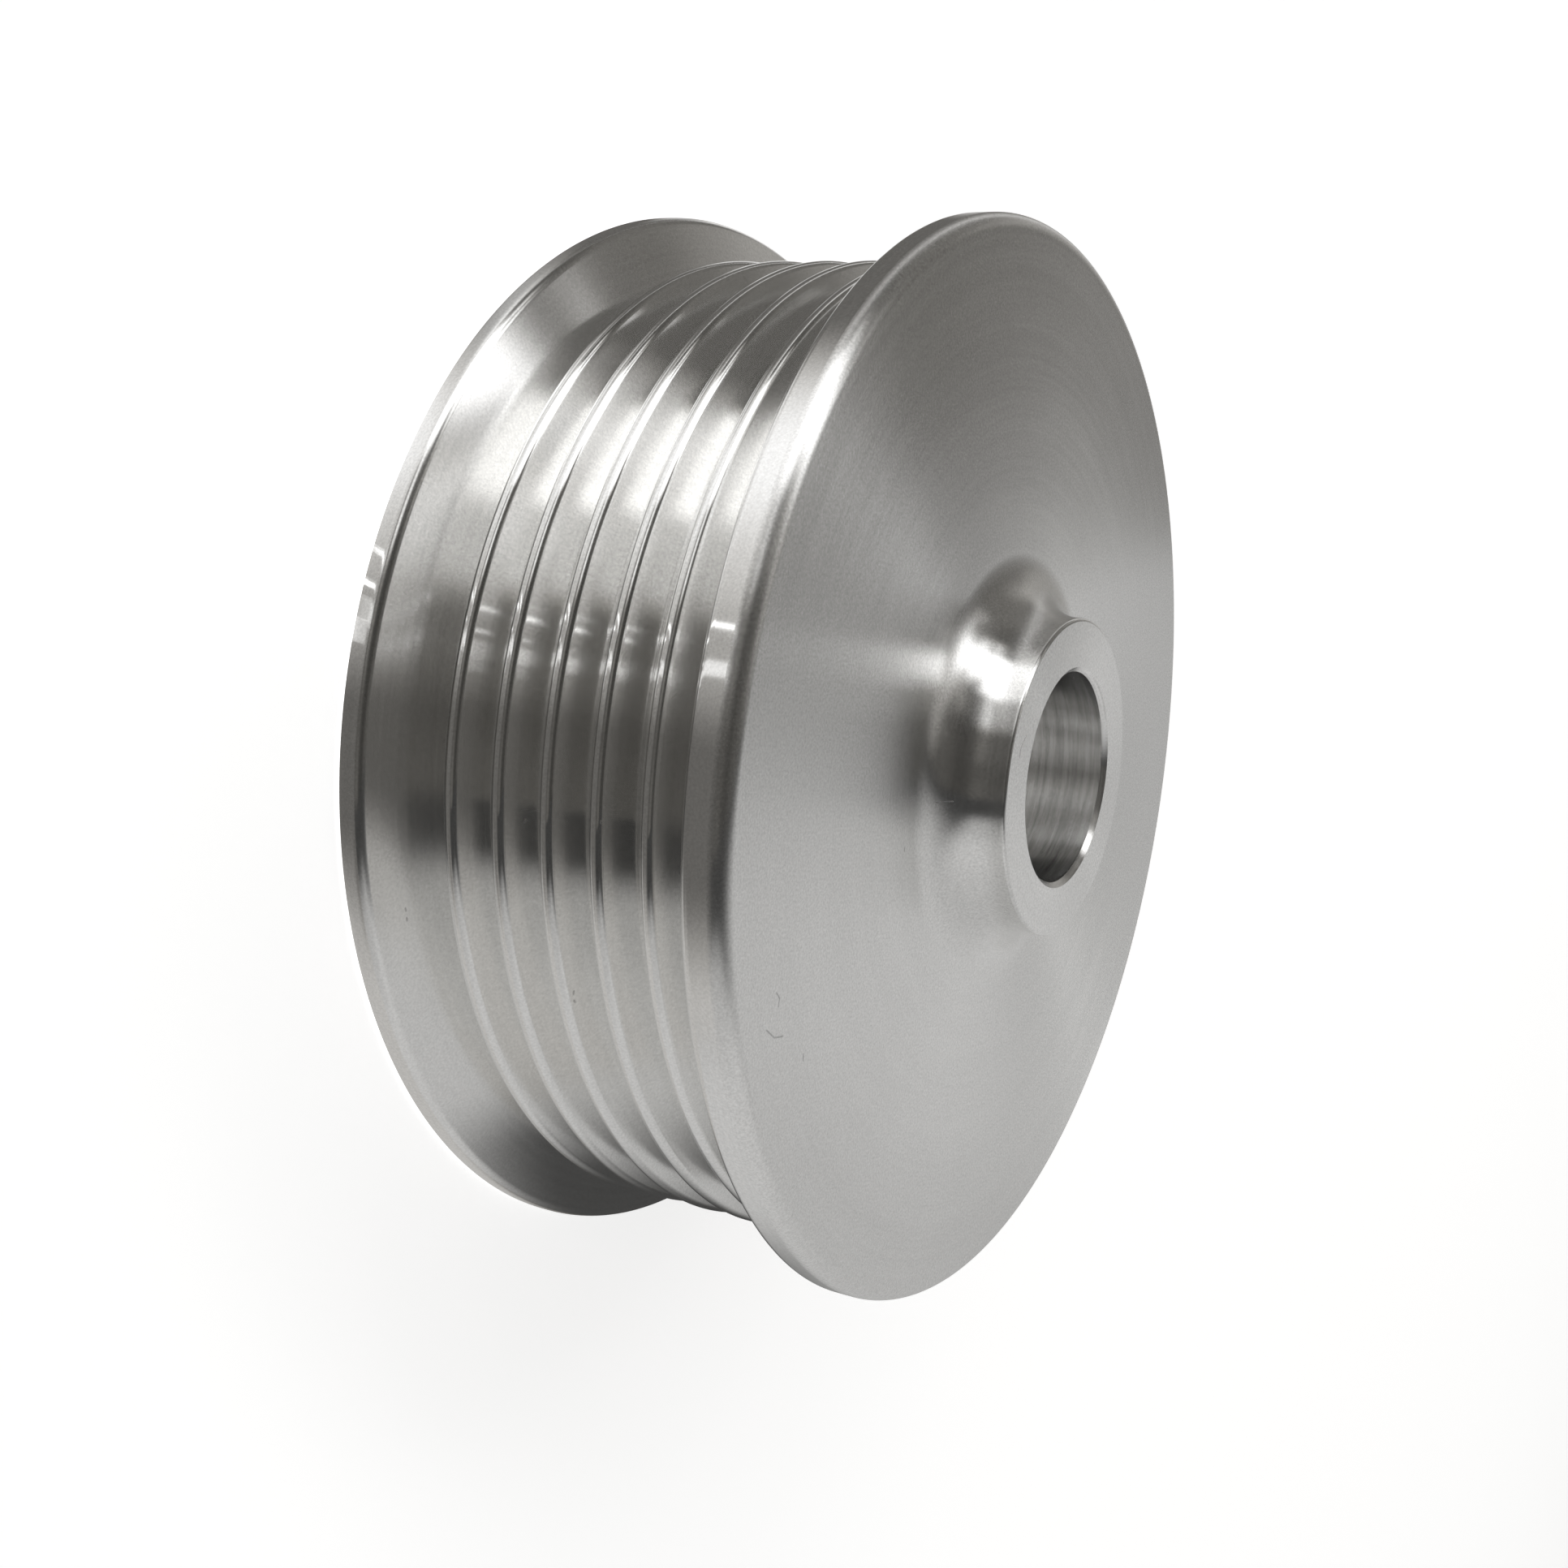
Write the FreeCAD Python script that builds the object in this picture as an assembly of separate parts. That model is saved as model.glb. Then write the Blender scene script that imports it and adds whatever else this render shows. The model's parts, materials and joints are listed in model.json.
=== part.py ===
import FreeCAD, Part
import math
import os

# Ribbed belt pulley, turned in one piece, in millimetres.
# It stands on its nut side at z = 0, with the bore along +Z and the hub nose on top.

# Belt drum: V grooves between two flanges
groove_count = 6
groove_pitch = 3.56
groove_angle = 40.0
crest_diameter = 70.0
tip_round = 0.55
root_round = 0.5

# Flanges: flat lands on the rims, with every rim corner rounded, most of all the one to the nose face
flange_diameter = 76.0
nut_rim_land = 0.5
nose_rim_land = 1.2
rim_round = 0.8
face_corner_round = 1.1

# Hub nose, which blends into the face in one wide hollow fillet
nose_diameter = 22.5
nose_height = 4.7
nose_wall_land = 0.3
nose_edge_round = 0.25

# Shaft bore, with the same chamfer at both mouths
bore_diameter = 15.0
bore_chamfer = 0.35

# Recess for the shaft nut and its socket, sunk in the nut side
recess_diameter = 34.0
recess_depth = 12.0
recess_mouth_chamfer = 1.0
recess_floor_round = 1.0

# Lengths that follow from the V grooves: each flank leans half the groove angle from a true radius
half_angle = math.radians(groove_angle / 2)
apex_gap = 1 / math.sin(half_angle) - 1
tip_apex_radius = crest_diameter / 2 + tip_round * apex_gap
root_apex_radius = tip_apex_radius - groove_pitch / 2 / math.tan(half_angle)
flange_radius = flange_diameter / 2
flank_rise = (flange_radius - root_apex_radius) * math.tan(half_angle)

# The round between a rim land and a groove flank takes up this much of the rim
flank_round_length = rim_round * math.tan((math.pi / 2 - half_angle) / 2)
nut_rim_edge = rim_round + nut_rim_land + flank_round_length
first_root = nut_rim_edge + flank_rise
last_root = first_root + (groove_count - 1) * groove_pitch
nose_rim_edge = last_root + flank_rise
face_level = nose_rim_edge + flank_round_length + nose_rim_land + face_corner_round
nose_level = face_level + nose_height
nose_fillet = nose_height - nose_wall_land - nose_edge_round


def groove_corners():
    """Zigzag of groove roots and rib crests from the nut side up, before rounding."""
    corners = []
    for groove in range(groove_count):
        root_level = first_root + groove * groove_pitch
        corners.append((root_apex_radius, root_level, root_round))
        if groove < groove_count - 1:
            corners.append((tip_apex_radius, root_level + groove_pitch / 2, tip_round))
    return corners


def half_section():
    """Corners of the half section as radius, level and corner round."""
    bore_radius = bore_diameter / 2
    mouth_radius = bore_radius + bore_chamfer
    recess_radius = recess_diameter / 2
    corners = [
        (bore_radius, recess_depth + bore_chamfer, 0),
        (mouth_radius, recess_depth, 0),
        (recess_radius, recess_depth, recess_floor_round),
        (recess_radius, recess_mouth_chamfer, 0),
        (recess_radius + recess_mouth_chamfer, 0, 0),
        (flange_radius, 0, rim_round),
        (flange_radius, nut_rim_edge, rim_round),
    ]
    corners += groove_corners()
    corners += [
        (flange_radius, nose_rim_edge, rim_round),
        (flange_radius, face_level, face_corner_round),
        (nose_diameter / 2, face_level, nose_fillet),
        (nose_diameter / 2, nose_level, nose_edge_round),
        (mouth_radius, nose_level, 0),
        (bore_radius, nose_level - bore_chamfer, 0),
    ]
    return corners


def rounded_wire(corners):
    """Closed wire in the XZ plane, with a tangent arc at every corner that has a round."""
    points = [FreeCAD.Vector(radius, 0, level) for radius, level, _ in corners]
    pieces = []
    for index, (_, _, corner_round) in enumerate(corners):
        corner = points[index]
        before = (points[index - 1] - corner).normalize()
        after = (points[(index + 1) % len(points)] - corner).normalize()
        if corner_round == 0:
            pieces.append((corner, None, corner))
            continue
        half_corner = before.getAngle(after) / 2
        reach = corner_round / math.tan(half_corner)
        inward = (before + after).normalize()
        middle = corner + inward * (corner_round / math.sin(half_corner) - corner_round)
        pieces.append((corner + before * reach, middle, corner + after * reach))
    edges = []
    for index, (start, middle, end) in enumerate(pieces):
        if middle:
            edges.append(Part.Arc(start, middle, end).toShape())
        following = pieces[(index + 1) % len(pieces)][0]
        edges.append(Part.LineSegment(end, following).toShape())
    return Part.Wire(edges)


def pulley():
    """The whole pulley, the half section turned once about the bore axis."""
    section = Part.Face(rounded_wire(half_section()))
    return section.revolve(FreeCAD.Vector(0, 0, 0), FreeCAD.Vector(0, 0, 1), 360)


os.makedirs("parts", exist_ok=True)
pulley().exportStep("parts/ribbed_pulley.step")
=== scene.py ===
import json
import math
import bpy
import numpy as np
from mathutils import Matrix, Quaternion, Vector


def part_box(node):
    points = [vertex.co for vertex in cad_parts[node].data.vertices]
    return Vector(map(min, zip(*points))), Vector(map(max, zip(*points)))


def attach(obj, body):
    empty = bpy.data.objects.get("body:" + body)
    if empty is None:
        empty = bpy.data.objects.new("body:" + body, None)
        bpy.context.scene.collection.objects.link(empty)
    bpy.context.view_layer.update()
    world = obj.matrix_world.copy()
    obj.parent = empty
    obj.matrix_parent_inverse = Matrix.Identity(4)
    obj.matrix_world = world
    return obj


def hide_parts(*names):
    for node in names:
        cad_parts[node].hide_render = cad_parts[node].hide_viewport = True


# Ribbed belt pulley, turned in one piece from aluminium, on a pale floor in a light tent.
# Metres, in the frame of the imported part: it stands on z = 0 with its bore along +Z.

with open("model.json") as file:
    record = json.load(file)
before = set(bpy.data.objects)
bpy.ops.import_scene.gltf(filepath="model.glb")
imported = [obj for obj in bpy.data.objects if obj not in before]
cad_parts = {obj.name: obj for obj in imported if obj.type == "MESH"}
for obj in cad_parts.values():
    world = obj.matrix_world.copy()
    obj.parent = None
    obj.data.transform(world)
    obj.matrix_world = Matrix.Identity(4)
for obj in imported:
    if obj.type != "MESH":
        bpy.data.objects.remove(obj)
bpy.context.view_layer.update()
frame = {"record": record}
NODE = "ribbed_pulley"
MM = 0.001

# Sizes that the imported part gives
mounts = {mount["name"]: mount for mount in frame["record"]["mounts"]}
flange_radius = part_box(NODE)[1].x
nose_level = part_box(NODE)[1].z
bore_radius = mounts["bore"]["dims"]["r_mm"] * MM
recess_depth = mounts["nut_seat"]["pos_m"][2]

# Belt drum
groove_count = 6
groove_pitch = 3.56 * MM
half_angle = math.radians(20)
crest_radius = 35 * MM
tip_round = 0.55 * MM
root_round = 0.5 * MM
nut_rim_land = 0.5 * MM
rim_round = 0.8 * MM
face_corner_round = 1.1 * MM

# Hub nose, bore mouths and nut recess
nose_radius = 11.25 * MM
nose_height = 4.7 * MM
nose_wall_land = 0.3 * MM
nose_edge_round = 0.25 * MM
bore_chamfer = 0.35 * MM
recess_radius = 17 * MM
recess_mouth_chamfer = 1 * MM
recess_floor_round = 1 * MM

# Levels and radii that follow
tip_apex_radius = crest_radius + tip_round * (1 / math.sin(half_angle) - 1)
root_apex_radius = tip_apex_radius - groove_pitch / 2 / math.tan(half_angle)
flank_rise = (flange_radius - root_apex_radius) * math.tan(half_angle)
nut_rim_edge = rim_round + nut_rim_land + rim_round * math.tan((math.pi / 2 - half_angle) / 2)
first_root = nut_rim_edge + flank_rise
nose_rim_edge = first_root + (groove_count - 1) * groove_pitch + flank_rise
face_level = nose_level - nose_height
nose_fillet = nose_height - nose_wall_land - nose_edge_round

# How finely the surface is cut: the most that a chord may stray from its arc, and steps round the axis
chord_error = 0.002 * MM
steps_round = 360

# Finishes in the order of the piece's material slots
DRUM, WALL, FACE, FILLET, BORE, NUT_SIDE = range(6)

# Bare aluminium: its colour's level, and its green and blue as shares of its red
bare_tone = 0.88
green_share = 0.997
blue_share = 0.986

# Widths of its satin grain and of its wide cloudy patches, and the nicks and scratches in it
grain_width = 0.16 * MM
cloud_width = 6 * MM
nick_spacing = 9 * MM
nick_size = 0.35 * MM
nick_share = 0.2
scratch_depth = 0.004 * MM

# Radii between which the nose side gets smoother towards the hub
smooth_radius = 12 * MM
satin_radius = 17 * MM

# Marks that handling has left: dark (-1) or light (1), width, and a line through points in millimetres.
# A light mark is a rougher scratch with its colour lightened as a painted glint.
drum_strokes = (
    (-1, 0.15 * MM, ((13.2, -33.0, 2.7), (13.6, -32.9, 2.9), (14.0, -32.7, 2.7))),
    (-1, 0.18 * MM, ((16.6, -30.1, 13.9), (17.0, -30.0, 13.6), (17.3, -29.8, 13.9))),
    (1, 0.16 * MM, ((6.7, -32.7, 10.7), (6.8, -32.7, 10.7))),
    (1, 0.14 * MM, ((5.9, -34.3, 17.2), (6.0, -34.3, 17.2))),
)
face_strokes = (
    (-1, 0.12 * MM, ((14.3, -29.8, 27.5), (14.6, -29.4, 27.5), (15.1, -29.4, 27.5))),
    (-1, 0.12 * MM, ((16.4, -30.4, 27.5), (16.9, -29.4, 27.5), (16.9, -28.4, 27.5))),
    (-1, 0.14 * MM, ((18.2, -25.6, 27.5), (18.6, -25.5, 27.5))),
    (-1, 0.16 * MM, ((5.8, -15.4, 27.5), (6.0, -15.4, 27.5))),
    (1, 0.08 * MM, ((-2.4, -9.0, 32.2), (-1.6, -9.6, 32.2), (-0.9, -9.7, 32.2))),
)
fillet_strokes = (
    (1, 0.10 * MM, ((2.7, -13.0, 28.0), (2.6, -12.5, 28.5), (2.5, -12.0, 28.9))),
    (1, 0.08 * MM, ((3.0, -12.8, 28.2), (2.9, -12.2, 28.7))),
)

# Floor, closed to a point at its centre, and how much white it adds to its own lit grey
floor_radius = 3.0
floor_centre = 1e-6 * floor_radius
floor_steps = 96
floor_lift = 0.78

# Level of all light round the pulley, and the brightness from which on it is neutral and not warm
light_level = 0.886
neutral_light = 1.2

# Light tent: its cloth's own glow, then its cards of light. Each has the azimuth of its middle from the
# camera's side and its elevation, in degrees, the degrees of azimuth that it leans for each degree up,
# its half width and half height, the softness of its edge and its brightness, which darkens if negative.
tent_radius = 2.9
tent_steps = 720
tent_warmth = (0.045, 0.12)
tent_glow = 0.1
tent_cards = (
    # Window, from low in front to high over the side
    (-63, 14, -0.25, 15, 19, 4, 1.8),
    (-38, 18.5, -0.25, 12, 8.5, 5, 1.05),
    (-15, 17, 0, 12, 6, 8, 0.16),
    (-85, 25, -0.3, 7, 6, 4, 1.0),
    (-70, 36, -0.6, 17, 4, 3, 1.0),
    (-89, 48, -0.5, 17, 10, 5, 1.7),
    (-126, 57, 0, 18, 5, 4, 1.9),
    (-143, 49, 0, 4, 5, 4, 1.0),
    (-100, 64, 0, 45, 4, 4, 0.28),
    (-128, 67, 0, 22, 6, 4, 0.2),
    # Paler cloth behind the pulley, with one small lamp
    (-165, 8, 0, 24, 9, 6, 0.26),
    (-142, 20, 0, 6, 7, 5, 0.13),
    (-130, 24, 0, 24, 22, 12, 0.07),
    (-171, 26, 0, 14, 8, 8, 0.06),
    (-160, 58, 0, 18, 12, 6, 0.35),
    (-130, 43, 0, 2, 2, 1, 0.7),
    (-130, 44, 0, 3, 4, 3, 0.12),
    # Low in front, and darker above that
    (28, 18, 0, 18, 8, 8, 0.035),
    (0, 48, 0, 40, 16, 8, -0.045),
)

# Thin lamps over the pulley: how far aside they run, their half width and their brightness
strip_lamps = (
    (-0.138, 0.004, 0.4),
    (-0.073, 0.011, 0.05),
)
strip_softness = 0.003
strip_length = ((-0.18, 0.2, 0.05, 1),)

# Mat: finely stepped out to mat_radius, then on to just inside the tent, with a seam round its part under
# the bore. Its pattern near the pulley fades into a plainer one from pattern_radius to twice that.
mat_radius = 0.6
mat_edge = 0.98 * tent_radius
mat_steps = 1440
mat_level = 0.2 * MM
mat_seam = 0.1 * MM
mat_warmth = (0.04, 0.1)
pattern_radius = 0.12
dim_glow = 0.15
beyond_glow = 0.9

# Light on the mat in soft-edged bands of an angle: middle, half width, softness and brightness
window_bands = ((-23.5, 9, 8, 1.05), (-8, 6, 4, 0.3))
near_window_bands = ((-38.5, 6, 6, 0.95),)
pale_bands = ((61, 43, 6, 0.44),)
far_pale_bands = ((-114.5, 42, 4, 0.9),)
near_dim_bands = ((78, 22, 12, -0.22),)
bore_bands = ((-20, 41, 13, 0.4), (-24, 4, 7, 0.16), (20, 10, 10, -0.08))
bore_window = (111, 31, 23, 1.13)
beyond_bands = ((15, 45, 10, -0.82),)

# Bands of the mat by millimetres, of strength 1: the ring that the groove flanks mirror, where the window
# loses light and the pale band lies further round, and the strip beside the board, where the pulley's
# shadow is painted into the mat's glow
flank_ring = ((48, 7, 2, 1),)
flank_window_loss = 0.28
flank_pale_shift = 4
board_strip = ((60, 28, 5, 1),)

# Lamps on the mat: their azimuths at these radii in millimetres, because they bend near the rims
lamp_radii = (38.5, 43, 46, 80)
thin_lamp_azimuths = (-9.4, -13, -14.3, -15.1)
wide_lamp_azimuths = (-5, -7.3, -8, -8.9)
thin_lamp_bands = ((0, 0.25, 0.2, 2.2),)
wide_lamp_bands = ((0, 1.1, 0.2, 0.6),)

# Pale board that stands beside the rims as a table top would lie under them, glowing with painted light
# and the pulley's painted shadow: the way to it and along it
board_side = (0.959, 0.284, 0)
board_run = (-0.284, 0.959, 0)
board_gap = 0.2 * MM
board_size = 0.4
board_steps = 100
board_foot = 0.5 * MM
board_warmth = (0.01, 0.03)
board_glow = 0.055

# Patches of painted light or painted shadow on the board, in millimetres: middle, half width and softness
# along it, height and softness up it, and strength
near_end_patch = (-75, 48, 33, 87, 28, 0.46)
far_end_patch = (190, 220, 64, 197, 100, 0.57)
# The pulley's shadow, painted on the board and on the mat beside it
shade_patch = (-2, 22, 8, 20, 6, 0.87)


def groove_corners():
    """Zigzag of groove roots and rib crests from the nut side up."""
    corners = []
    for groove in range(groove_count):
        root_level = first_root + groove * groove_pitch
        corners.append((root_apex_radius, root_level, root_round, DRUM))
        corners.append((tip_apex_radius, root_level + groove_pitch / 2, tip_round, DRUM))
    return corners[:-2] + [(root_apex_radius, root_level, root_round, WALL)]


def half_section():
    """Corners counter-clockwise: radius, level, round, and the finish of that round and its next run."""
    mouth_radius = bore_radius + bore_chamfer
    return [
        (bore_radius, recess_depth + bore_chamfer, 0, BORE),
        (mouth_radius, recess_depth, 0, NUT_SIDE),
        (recess_radius, recess_depth, recess_floor_round, NUT_SIDE),
        (recess_radius, recess_mouth_chamfer, 0, NUT_SIDE),
        (recess_radius + recess_mouth_chamfer, 0, 0, NUT_SIDE),
        (flange_radius, 0, rim_round, DRUM),
        (flange_radius, nut_rim_edge, rim_round, WALL),
        *groove_corners(),
        (flange_radius, nose_rim_edge, rim_round, DRUM),
        (flange_radius, face_level, face_corner_round, FACE),
        (nose_radius, face_level, nose_fillet, FILLET),
        (nose_radius, nose_level, nose_edge_round, FACE),
        (mouth_radius, nose_level, 0, BORE),
        (bore_radius, nose_level - bore_chamfer, 0, BORE),
    ]


def rounded(corners):
    """Points, outward normals and finishes along the closed half section, each corner rolled to an arc.

    At a corner the way of travel turns by some angle. The arc starts the tangent of half that angle times
    the radius short of the corner, and its normal swings evenly through the angle. A sharp corner is an
    arc of no radius: it keeps the normals of both its runs, at one point.
    """
    place = np.array([corner[:2] for corner in corners])
    radius = np.array([corner[2] for corner in corners], float)
    ahead = np.roll(place, -1, axis=0) - place
    ahead /= np.linalg.norm(ahead, axis=1, keepdims=True)
    behind = np.roll(ahead, 1, axis=0)
    left = behind[:, 0] * ahead[:, 1] - behind[:, 1] * ahead[:, 0]
    turn = np.arctan2(left, (behind * ahead).sum(axis=1))
    start = np.arctan2(behind[:, 1], behind[:, 0]) - math.pi / 2
    bulge = np.sign(turn) * radius
    reach = radius * np.tan(abs(turn) / 2)
    start_normal = np.stack([np.cos(start), np.sin(start)], axis=1)
    centre = place - behind * reach[:, None] - start_normal * bulge[:, None]
    widest_step = 2 * np.arccos(1 - chord_error / np.maximum(radius, chord_error))
    steps = np.where(radius > 0, np.ceil(abs(turn) / widest_step), 1).astype(int)
    corner = np.repeat(np.arange(len(place)), steps + 1)
    step = np.arange(len(corner)) - np.repeat(np.cumsum(steps + 1) - steps - 1, steps + 1)
    angle = start[corner] + turn[corner] * step / steps[corner]
    normal = np.stack([np.cos(angle), np.sin(angle)], axis=1)
    point = centre[corner] + normal * bulge[corner, None]
    finish = np.array([corner[3] for corner in corners])[corner]
    return point, normal, finish


def carried_round(section, steps):
    """Radius and level pairs turned about Z: x and y are radius times cosine and sine of each step."""
    angle = np.arange(steps) * 2 * math.pi / steps
    radius, level = section[:, :1], section[:, 1:]
    return np.stack([radius * np.cos(angle), radius * np.sin(angle), level + 0 * angle], axis=2)


def mesh_piece(name, vertex, quad, finish=None, corner_normal=None):
    """A smooth mesh object of four-sided faces, with exact normals at their corners if they are given."""
    mesh = bpy.data.meshes.new(name)
    mesh.vertices.add(len(vertex))
    mesh.vertices.foreach_set("co", vertex.ravel())
    mesh.loops.add(quad.size)
    mesh.loops.foreach_set("vertex_index", quad.ravel())
    mesh.polygons.add(len(quad))
    mesh.polygons.foreach_set("loop_start", np.arange(0, quad.size, 4))
    if finish is not None:
        mesh.polygons.foreach_set("material_index", finish)
    mesh.update(calc_edges=True)
    mesh.shade_smooth()
    if corner_normal is not None:
        mesh.normals_split_custom_set(corner_normal)
    piece = bpy.data.objects.new(name, mesh)
    bpy.context.scene.collection.objects.link(piece)
    return piece


def turned_pulley():
    """The half section carried once round the axis, each quad with the corner normals of its own run."""
    point, normal, finish = rounded(half_section())
    run = np.linalg.norm(np.roll(point, -1, axis=0) - point, axis=1)
    start = np.flatnonzero(run > chord_error / 1000)
    end = (start + 1) % len(point)
    vertex = carried_round(point[start], steps_round)
    ring, step = np.meshgrid(np.arange(len(start)), np.arange(steps_round), indexing="ij")
    next_ring, next_step = (ring + 1) % len(start), (step + 1) % steps_round
    quad = np.stack([
        ring * steps_round + step,
        ring * steps_round + next_step,
        next_ring * steps_round + next_step,
        next_ring * steps_round + step,
    ], axis=2)
    start_normal = carried_round(normal[start], steps_round)
    end_normal = carried_round(normal[end], steps_round)
    corner_normal = np.stack([
        start_normal,
        np.roll(start_normal, -1, axis=1),
        np.roll(end_normal, -1, axis=1),
        end_normal,
    ], axis=2)
    return mesh_piece(
        "turned_pulley",
        vertex.reshape(-1, 3),
        quad.reshape(-1, 4),
        np.repeat(finish[start], steps_round),
        corner_normal.reshape(-1, 3),
    )


class Value:
    """A number that varies over a surface: a node's socket, whose arithmetic adds Math nodes."""

    def __init__(self, finish, socket):
        self.finish = finish
        self.socket = socket

    def maths(self, operation, *others):
        return self.finish.node("ShaderNodeMath", {"operation": operation}, self, *others)

    def __add__(self, other):
        return self.maths("ADD", other)

    def __radd__(self, other):
        return self.maths("ADD", other)

    def __sub__(self, other):
        return self.maths("SUBTRACT", other)

    def __rsub__(self, other):
        return self.finish.node("ShaderNodeMath", {"operation": "SUBTRACT"}, other, self)

    def __mul__(self, other):
        return self.maths("MULTIPLY", other)

    def __rmul__(self, other):
        return self.maths("MULTIPLY", other)

    def __truediv__(self, other):
        return self.maths("DIVIDE", other)

    def __pow__(self, other):
        return self.maths("POWER", other)

    def __abs__(self):
        return self.maths("ABSOLUTE")


class Finish:
    """The nodes of one material, or of the world."""

    def __init__(self, owner, output="ShaderNodeOutputMaterial"):
        owner.use_nodes = True
        self.owner = owner
        self.tree = owner.node_tree
        self.tree.nodes.clear()
        self.output = self.tree.nodes.new(output)

    def node(self, kind, settings=None, *inputs, out=0, **named):
        """Adds a node: settings first, then its sockets by order or by name, each a number or a Value."""
        node = self.tree.nodes.new(kind)
        for setting, value in (settings or {}).items():
            setattr(node, setting, value)
        sockets = dict(enumerate(inputs))
        sockets.update((name.replace("_", " "), value) for name, value in named.items())
        for key, value in sockets.items():
            if isinstance(value, Value):
                self.tree.links.new(value.socket, node.inputs[key])
            else:
                node.inputs[key].default_value = value
        return Value(self, node.outputs[out])

    def show(self, shader):
        """Gives the shader to the output, and returns the finished material or world."""
        self.tree.links.new(shader.socket, self.output.inputs["Surface"])
        return self.owner


def new_finish(name):
    """The empty nodes of a new material."""
    return Finish(bpy.data.materials.new(name))


class Place:
    """Where a point of the surface is: its object coordinates and its place round the bore axis."""

    def __init__(self, finish):
        self.finish = finish
        self.point = finish.node("ShaderNodeTexCoord", out="Object")
        self.x, self.y, self.level = (
            finish.node("ShaderNodeSeparateXYZ", None, self.point, out=axis) for axis in "XYZ"
        )
        self.radius = (self.x * self.x + self.y * self.y) ** 0.5

    def rings(self, width, turns, detail):
        """Noise that runs round the axis, changing over a width of profile and so many times a radian."""
        across = self.finish.node(
            "ShaderNodeCombineXYZ",
            None,
            self.radius * (1 / width),
            self.level * (1 / width),
            self.x / self.radius * turns,
        )
        return self.finish.node(
            "ShaderNodeTexNoise",
            {"noise_dimensions": "4D"},
            Vector=across,
            W=self.y / self.radius * turns,
            Scale=1.0,
            Detail=detail,
            Roughness=0.6,
        )

    def grain(self, width, detail=2.0):
        """Noise of the same width in every direction."""
        return self.finish.node(
            "ShaderNodeTexNoise", None, Vector=self.point, Scale=1 / width, Detail=detail, Roughness=0.6
        )

    def stroke(self, points, width):
        """1 on a line through the points, by the distance to the nearest of its straight runs.

        The nearest place on a run is the share of it that the way from its start covers, held to 0 to 1.
        """
        nearest = 1.0
        for start, end in zip(points[:-1], points[1:]):
            run = (Vector(end) - Vector(start)) * MM
            offset = self.vector_maths("SUBTRACT", self.point, Vector(start) * MM)
            along = self.vector_maths("DOT_PRODUCT", offset, run / run.length_squared, out="Value")
            held = {"operation": "ADD", "use_clamp": True}
            share = self.finish.node("ShaderNodeMath", held, along, 0.0)
            foot = self.vector_maths("SCALE", run, Scale=share)
            distance = self.vector_maths("DISTANCE", offset, foot, out="Value")
            nearest = distance.maths("MINIMUM", nearest)
        return step_down(nearest, 0.3 * width, 0.6 * width)

    def vector_maths(self, operation, *vectors, out=0, **named):
        """A Vector Math node."""
        settings = {"operation": operation}
        return self.finish.node("ShaderNodeVectorMath", settings, *vectors, out=out, **named)

    def nicks(self, spacing, size, share):
        """Small curled nicks: broken rings round scattered points, where a noise lets them show."""
        scattered = {"Vector": self.point, "Scale": 1 / spacing, "Randomness": 1.0}
        distance = self.finish.node("ShaderNodeTexVoronoi", None, out="Distance", **scattered)
        chosen = self.finish.node("ShaderNodeTexVoronoi", None, out="Color", **scattered)
        chance = self.finish.node("ShaderNodeSeparateColor", None, chosen, out="Red")
        ring = abs(distance + (self.grain(size) - 1.2) * (size / spacing))
        broken = step_up(self.grain(size * 3, 0.0), 0.48, 0.56)
        return step_down(ring, 0.002, 0.012) * broken * step_up(chance, 1 - share, 1.01 - share)


def step_up(value, low, high):
    """0 below low and 1 above high, with a smooth step between."""
    return value.finish.node(
        "ShaderNodeMapRange",
        {"interpolation_type": "SMOOTHSTEP"},
        Value=value,
        From_Min=low,
        From_Max=high,
        To_Min=0.0,
        To_Max=1.0,
    )


def step_down(value, low, high):
    """1 below low and 0 above high, with a smooth step between."""
    return 1 - step_up(value, low, high)


def turned_metal(
    name,
    roughness,
    brushed,
    mark_width,
    mark_tone,
    mark_depth,
    grain_tone,
    grain_depth=0,
    strokes=(),
    polish=0,
):
    """Bare aluminium as the lathe leaves it.

    Fine circular marks lie in wider bands of duller and brighter cut. They spread reflections across
    themselves and not along, by as much as it is brushed. A satin grain lies over them, with clouds of
    duller metal, a few curled nicks and the strokes that handling has left, dark and sunk or light and
    dull, the light ones also lightened in colour as a painted glint. A tone is a share of the colour.
    Polish is how much smoother it gets towards the nose.
    """
    finish = new_finish(name)
    place = Place(finish)
    ring = place.rings(mark_width, 1.2, 4.0) - 0.5
    band = place.rings(mark_width * 9, 0.8, 2.0) - 0.5
    grain = place.grain(grain_width) - 0.5
    cloud = place.grain(cloud_width, 3.0) - 0.5
    nick = place.nicks(nick_spacing, nick_size, nick_share)
    near_nose = step_down(place.radius, smooth_radius, satin_radius)
    dark = sum((place.stroke(points, width) for tone, width, points in strokes if tone < 0), nick * 0.6)
    # Light strokes: rougher scratches, with their colour lightened as a painted glint
    light = sum((place.stroke(points, width) for tone, width, points in strokes if tone > 0), 0 * nick)
    tone = (
        bare_tone
        + ring * mark_tone
        + band * 0.10
        + grain * grain_tone
        + cloud * 0.05
        + light * 0.2
        - dark * 0.3
    )
    colour = finish.node("ShaderNodeCombineColor", None, tone, tone * green_share, tone * blue_share)
    dullness = roughness + ring * 0.05 + band * 0.04 + cloud * 0.02 + light * 0.3 - near_nose * polish
    height = ring * mark_depth + grain * grain_depth - dark * scratch_depth
    return finish.show(finish.node(
        "ShaderNodeBsdfPrincipled",
        None,
        Base_Color=colour,
        Metallic=1.0,
        Roughness=dullness,
        Anisotropic=brushed,
        Anisotropic_Rotation=0.25,
        Normal=finish.node("ShaderNodeBump", None, Strength=1.0, Distance=1.0, Height=height),
    ))


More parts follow.
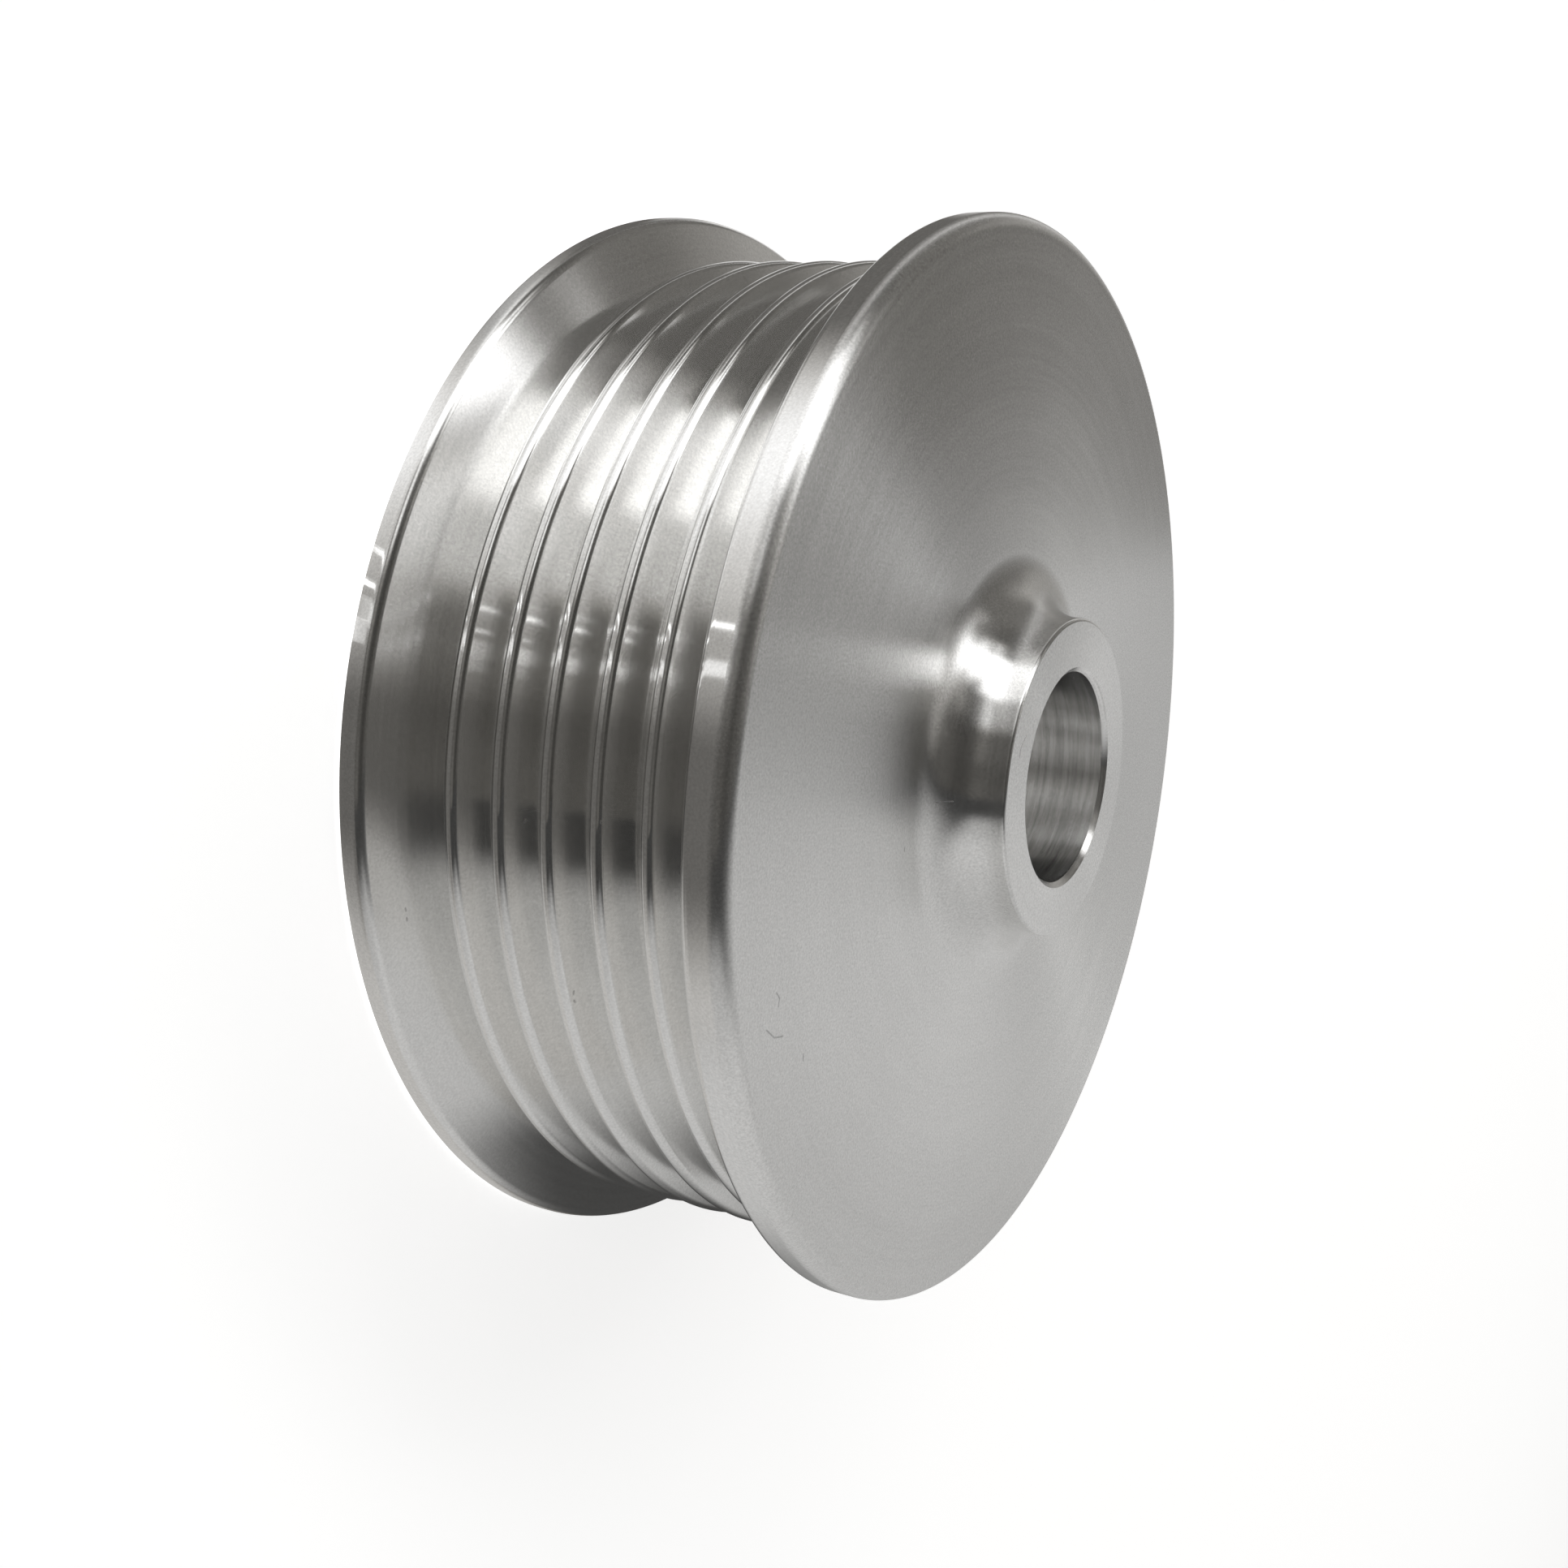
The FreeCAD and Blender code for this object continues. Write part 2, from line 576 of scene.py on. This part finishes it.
def turned_drum():
    """Grooves, crests, rims and their lands: a fine bright cut."""
    return turned_metal(
        "turned_drum",
        roughness=0.11,
        brushed=1.0,
        mark_width=0.30 * MM,
        mark_tone=0.14,
        mark_depth=0.0010 * MM,
        grain_tone=0.36,
        strokes=drum_strokes,
    )


def flange_wall():
    """The flanges' walls over the outermost grooves: a duller cut that spreads light more evenly."""
    return turned_metal(
        "flange_wall",
        roughness=0.18,
        brushed=0.6,
        mark_width=0.30 * MM,
        mark_tone=0.14,
        mark_depth=0.0008 * MM,
        grain_tone=0.36,
        strokes=drum_strokes,
    )


def nose_side(name, strokes):
    """Satin of the facing cut, smoother towards the hub."""
    return turned_metal(
        name,
        roughness=0.255,
        brushed=0.95,
        mark_width=0.30 * MM,
        mark_tone=0.10,
        mark_depth=0.0004 * MM,
        grain_tone=0.5,
        grain_depth=0.0003 * MM,
        strokes=strokes,
        polish=0.05,
    )


def faced_face():
    """The nose face, and the end of the hub nose."""
    return nose_side("faced_face", face_strokes)


def polished_fillet():
    """The hub's fillet: fine rougher scratches, lightened as a painted glint, beside its dark reflection.
    """
    return nose_side("polished_fillet", fillet_strokes)


def bored_wall():
    """The bore and its chamfers: coarse ring marks of strong contrast."""
    return turned_metal(
        "bored_wall",
        roughness=0.21,
        brushed=1.0,
        mark_width=0.35 * MM,
        mark_tone=1.1,
        mark_depth=0.002 * MM,
        grain_tone=0.4,
    )


def nut_side():
    """The end that the pulley stands on, and the recess for the nut: a plain facing cut."""
    return turned_metal(
        "nut_side",
        roughness=0.25,
        brushed=0.9,
        mark_width=0.35 * MM,
        mark_tone=0.30,
        mark_depth=0.002 * MM,
        grain_tone=0.5,
        grain_depth=0.0003 * MM,
    )


def seen_rays(finish):
    """1 for the rays that show a background: from the camera, off metal and through glass."""
    return sum(
        (finish.node("ShaderNodeLightPath", out=f"Is {ray} Ray") for ray in ("Glossy", "Transmission")),
        finish.node("ShaderNodeLightPath", out="Is Camera Ray"),
    )


def floor():
    """A round pale floor, a disc carried out from the axis. It keeps the pulley's shadow on its white."""
    radius = np.array([floor_radius, floor_centre])
    place = carried_round(np.stack([radius, 0 * radius], axis=1), floor_steps)
    piece = mesh_piece("floor", place.reshape(-1, 3), grid_quads(2, floor_steps, True))
    finish = new_finish("pale_floor")
    lit = finish.node("ShaderNodeBsdfDiffuse", None, Color=(0.9, 0.9, 0.9, 1))
    white = finish.node("ShaderNodeEmission", None, Strength=seen_rays(finish) * floor_lift)
    piece.data.materials.append(finish.show(finish.node("ShaderNodeAddShader", None, lit, white)))


def soft_window(distance, half_width, softness):
    """1 inside the half width and 0 outside, with an S-shaped edge as wide as twice the softness."""
    share = np.clip((half_width + softness - abs(distance)) / (2 * softness), 0, 1)
    return share * share * (3 - 2 * share)


def bands(across, rows):
    """Sum of soft-edged bands of light at places given by an angle or a distance across the bands."""
    return sum(
        brightness * soft_window(across - middle, half_width, softness)
        for middle, half_width, softness, brightness in rows
    )


def card(azimuth, elevation, middle, height, lean, half_width, half_height, softness, brightness):
    """Brightness of one of the tent's cards at places given by their azimuth and elevation."""
    upward = elevation - height
    across = (azimuth - middle - lean * upward + 180) % 360 - 180
    wide = soft_window(across, half_width, softness)
    high = soft_window(upward, half_height, softness)
    return brightness * wide * high


def strip_lamp(azimuth, elevation, aside, half_width, brightness):
    """A thin lamp over the pulley that runs fore and aft, mostly behind the zenith.

    Its place is by shares of the way to it: cos(elevation) sin(azimuth) goes sideways, and is aside all
    along the lamp, and cos(elevation) cos(azimuth) goes forward.
    """
    sideways = np.cos(np.radians(elevation)) * np.sin(np.radians(azimuth))
    forward = np.cos(np.radians(elevation)) * np.cos(np.radians(azimuth))
    wide = soft_window(sideways - aside, half_width, strip_softness)
    return brightness * wide * bands(forward, strip_length)


def tent_light(place):
    """Brightness of the tent at each place: dim cloth, its cards of light and the thin lamps."""
    azimuth = np.degrees(np.arctan2(place[:, 0], -place[:, 1]))
    elevation = np.degrees(np.arctan2(place[:, 2], np.hypot(place[:, 0], place[:, 1])))
    cloth = tent_glow + sum(card(azimuth, elevation, *row) for row in tent_cards)
    return cloth + sum(strip_lamp(azimuth, elevation, *row) for row in strip_lamps)


def patch(across, level, middle, half_width, softness, height, top_softness, strength):
    """A soft-edged patch at the board's foot, at places given by distances along and up the board."""
    wide = soft_window(across / MM - middle, half_width, softness)
    return strength * wide * soft_window(level / MM, height, top_softness)


def shade(across, level):
    """The pulley's shadow, painted on the board and the mat where the board is nearest to it."""
    return patch(across, level, *shade_patch)


def under_light(azimuth):
    """Brightness of the mat under the bore, by azimuth alone: its bands, and a window that hides them."""
    lit = dim_glow + bands(azimuth, bore_bands)
    middle, half_width, softness, brightness = bore_window
    across = (azimuth - middle + 180) % 360 - 180
    return lit + (brightness - lit) * soft_window(across, half_width, softness)


def mat_light(place):
    """Brightness of the mat, by the angle round the drum at which it mirrors that place to the camera.

    That angle is the azimuth divided by 1 + 1.5 (1 - flange radius / radius): a mirror turns the way to
    the camera two and a half times as fast as its own place. The groove flanks mirror a ring of the mat
    near the drum, which has bands of its own.
    """
    azimuth = np.degrees(np.arctan2(place[:, 0], -place[:, 1]))
    radius = np.hypot(place[:, 0], place[:, 1])
    facing = azimuth / (2.5 - 1.5 * flange_radius / np.maximum(radius, flange_radius))
    near_drum = bands(radius / MM, flank_ring)
    window_light = bands(facing, window_bands) * (1 - flank_window_loss * near_drum)
    window_light += bands(facing, near_window_bands) * near_drum
    pale_light = bands(facing - flank_pale_shift * near_drum, pale_bands) + bands(facing, far_pale_bands)
    pale_light += bands(facing, near_dim_bands) * near_drum
    thin_lamp = np.interp(radius / MM, lamp_radii, thin_lamp_azimuths)
    wide_lamp = np.interp(radius / MM, lamp_radii, wide_lamp_azimuths)
    lamp_light = bands(azimuth - thin_lamp, thin_lamp_bands) + bands(azimuth - wide_lamp, wide_lamp_bands)
    lit = dim_glow + window_light + lamp_light + pale_light
    # The pulley's shadow painted into the mat's glow on the strip beside the board
    beside_board = bands(place @ np.array(board_side) / MM, board_strip)
    lit *= 1 - beside_board * shade(place @ np.array(board_run), 0 * radius)
    beyond = beyond_glow + bands(azimuth, beyond_bands)
    lit += (beyond - lit) * np.clip(radius / pattern_radius - 1, 0, 1)
    return np.where(radius < recess_radius, under_light(azimuth), lit)


def board_light(place):
    """The board's glow: painted light, paler at its far end, and painted shadow where the pulley is
    nearest.
    """
    across = place @ np.array(board_run)
    level = place[:, 2]
    near_end = patch(across, level, *near_end_patch)
    far_end = patch(across, level, *far_end_patch)
    return (board_glow + near_end + far_end) * (1 - shade(across, level))


def grid_quads(rows, columns, closed):
    """Quads between each two rows of vertices, with the last column joined to the first if closed."""
    row, column = np.meshgrid(np.arange(rows - 1), np.arange(columns - (not closed)), indexing="ij")
    corner = row * columns + column
    beside = row * columns + (column + 1) % columns
    return np.stack([corner, beside, beside + columns, corner + columns], axis=2).reshape(-1, 4)


def lit_surface(name, place, closed, light, warmth):
    """A surface that glows by its own brightness at each point, and that the camera doesn't see.

    Its light is neutral where it is bright and warmer the dimmer it is, in the amounts of green and blue
    that warmth takes away.
    """
    vertex = place.reshape(-1, 3)
    brightness = light(vertex)
    dimness = np.clip(1 - brightness / neutral_light, 0, 1)
    tint = 1 - dimness[:, None] * np.array([0, *warmth, 0])
    tint[:, :3] *= brightness[:, None] * light_level
    piece = mesh_piece(name, vertex, grid_quads(*place.shape[:2], closed))
    piece.data.attributes.new("light", "FLOAT_COLOR", "POINT").data.foreach_set("color", tint.ravel())
    finish = new_finish(name)
    colour = finish.node("ShaderNodeAttribute", {"attribute_name": "light"}, out="Color")
    material = finish.show(finish.node("ShaderNodeEmission", None, Color=colour, Strength=1.0))
    material.cycles.emission_sampling = "NONE"
    piece.data.materials.append(material)
    piece.visible_camera = False
    return piece


def only_in_metal(piece):
    """Leaves the piece to be seen in reflections alone, so the floor and its shadow stay as they are."""
    piece.visible_diffuse = False
    piece.visible_shadow = False
    piece.visible_transmission = False


def tent():
    """A dome of cloth over the pulley, in steps of one degree up to 60 and finer above, by the lamps."""
    elevation = np.radians(np.concatenate([np.linspace(0, 59, 60), np.linspace(60, 89.8, 120)]))
    section = tent_radius * np.stack([np.cos(elevation), np.sin(elevation)], axis=1)
    lit_surface("tent", carried_round(section, tent_steps), True, tent_light, tent_warmth)


def mat():
    """A thin disc on the floor, out to the tent, that only the metal mirrors."""
    under = np.linspace(mat_seam, recess_radius, 5)
    round_about = recess_radius + mat_seam + mat_radius * np.linspace(0, 1, 40) ** 2
    radius = np.concatenate([under, round_about, [mat_edge]])
    section = np.stack([radius, 0 * radius + mat_level], axis=1)
    only_in_metal(lit_surface("mat", carried_round(section, mat_steps), True, mat_light, mat_warmth))


def board():
    """An upright board just clear of the rims, with finer steps near the pulley."""
    step = np.linspace(-1, 1, 2 * board_steps + 1)
    across = board_size * step * abs(step)
    level = board_foot + board_size * np.linspace(0, 1, board_steps + 1) ** 2
    foot = np.array(board_side) * (flange_radius + board_gap) + across[:, None] * np.array(board_run)
    place = foot[None] + level[:, None, None] * np.array([0, 0, 1])
    only_in_metal(lit_surface("board", place, False, board_light, board_warmth))


def white_world():
    """Plain white behind everything, and no light of its own."""
    finish = Finish(bpy.data.worlds.new("white"), "ShaderNodeOutputWorld")
    white = finish.node("ShaderNodeBackground", None, Color=(1, 1, 1, 1), Strength=seen_rays(finish))
    bpy.context.scene.world = finish.show(white)


def camera():
    """The photograph's close view over the pulley's side, with the bore axis lying across the picture."""
    place = Vector((0, -118.39, 75.97)) * MM
    aim = Vector((3.63, -0.11, 17.83)) * MM
    roll = math.radians(98.27)
    data = bpy.data.cameras.new("camera")
    data.lens = 40.87
    data.sensor_width = 36
    data.shift_x = -0.0614
    data.shift_y = 0.0119
    data.clip_start = 0.01
    shot = bpy.data.objects.new("camera", data)
    shot.location = place
    shot.rotation_mode = "QUATERNION"
    upright = (aim - place).to_track_quat("-Z", "Y")
    shot.rotation_quaternion = upright @ Quaternion((0, 0, 1), roll)
    bpy.context.scene.collection.objects.link(shot)
    bpy.context.scene.camera = shot


pulley = turned_pulley()
for new_material in (turned_drum, flange_wall, faced_face, polished_fillet, bored_wall, nut_side):
    pulley.data.materials.append(new_material())
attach(pulley, "root")
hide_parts(NODE)

floor()
camera()
white_world()
tent()
mat()
board()
bpy.context.scene.view_settings.view_transform = "Standard"
